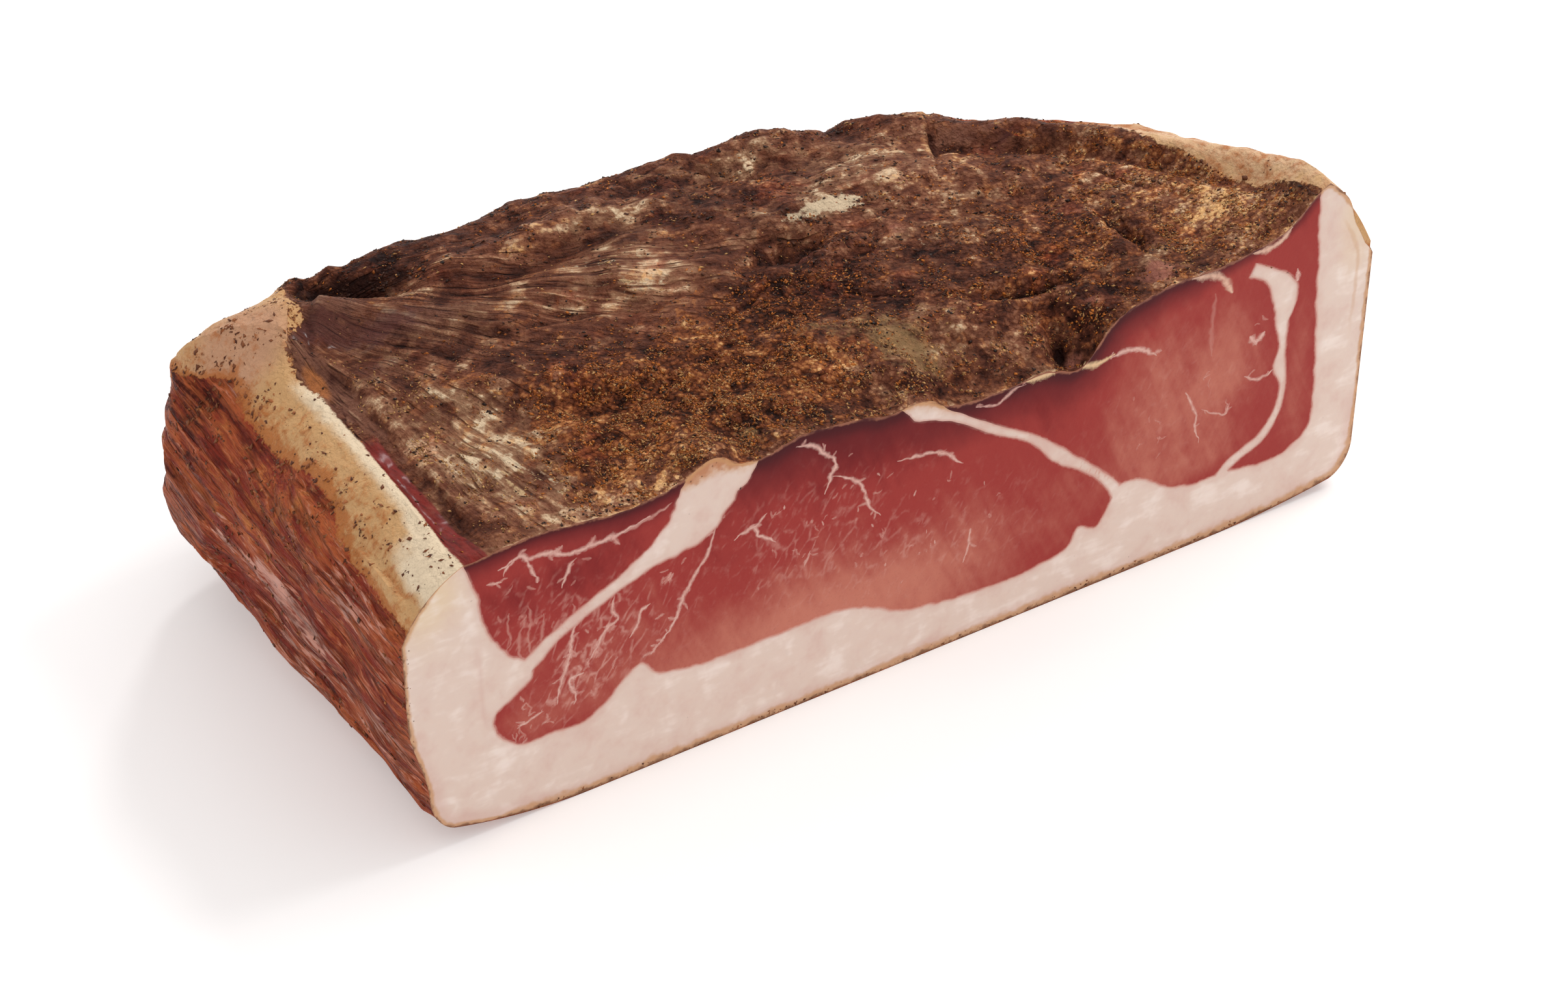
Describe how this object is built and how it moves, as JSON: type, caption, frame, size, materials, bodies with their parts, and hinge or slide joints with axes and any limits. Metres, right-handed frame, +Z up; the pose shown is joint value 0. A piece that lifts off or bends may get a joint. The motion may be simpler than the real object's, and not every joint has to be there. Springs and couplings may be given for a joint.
{
  "type": "speck ham",
  "caption": "Half a cured and smoked speck ham with one flat cut face, marbled lean under a spice crust, in its fat and rind.",
  "frame": {"origin": "on the table plane, under the centre of the piece's box", "axes": "+X along the cut face from the crust-topped rind side on the left to the high rim on the right, +Y in from the cut to the back, +Z up"},
  "size_m": [0.2746, 0.1364, 0.0957],
  "materials": {
    "lean_meat": "moist cured lean on the cut, dry brown spice crust on top",
    "fat_layer": "waxy pinkish-white fat on the cut, smoked glossy brown rind outside",
    "spice_grains": "dry crushed spice grains and flakes",
    "rind_specks": "dark specks stuck to the fat band and the rind"
  },
  "bodies": {
    "root": {"lean_meat": "lean_meat", "fat_layer": "fat_layer"}
  },
  "joints": []
}
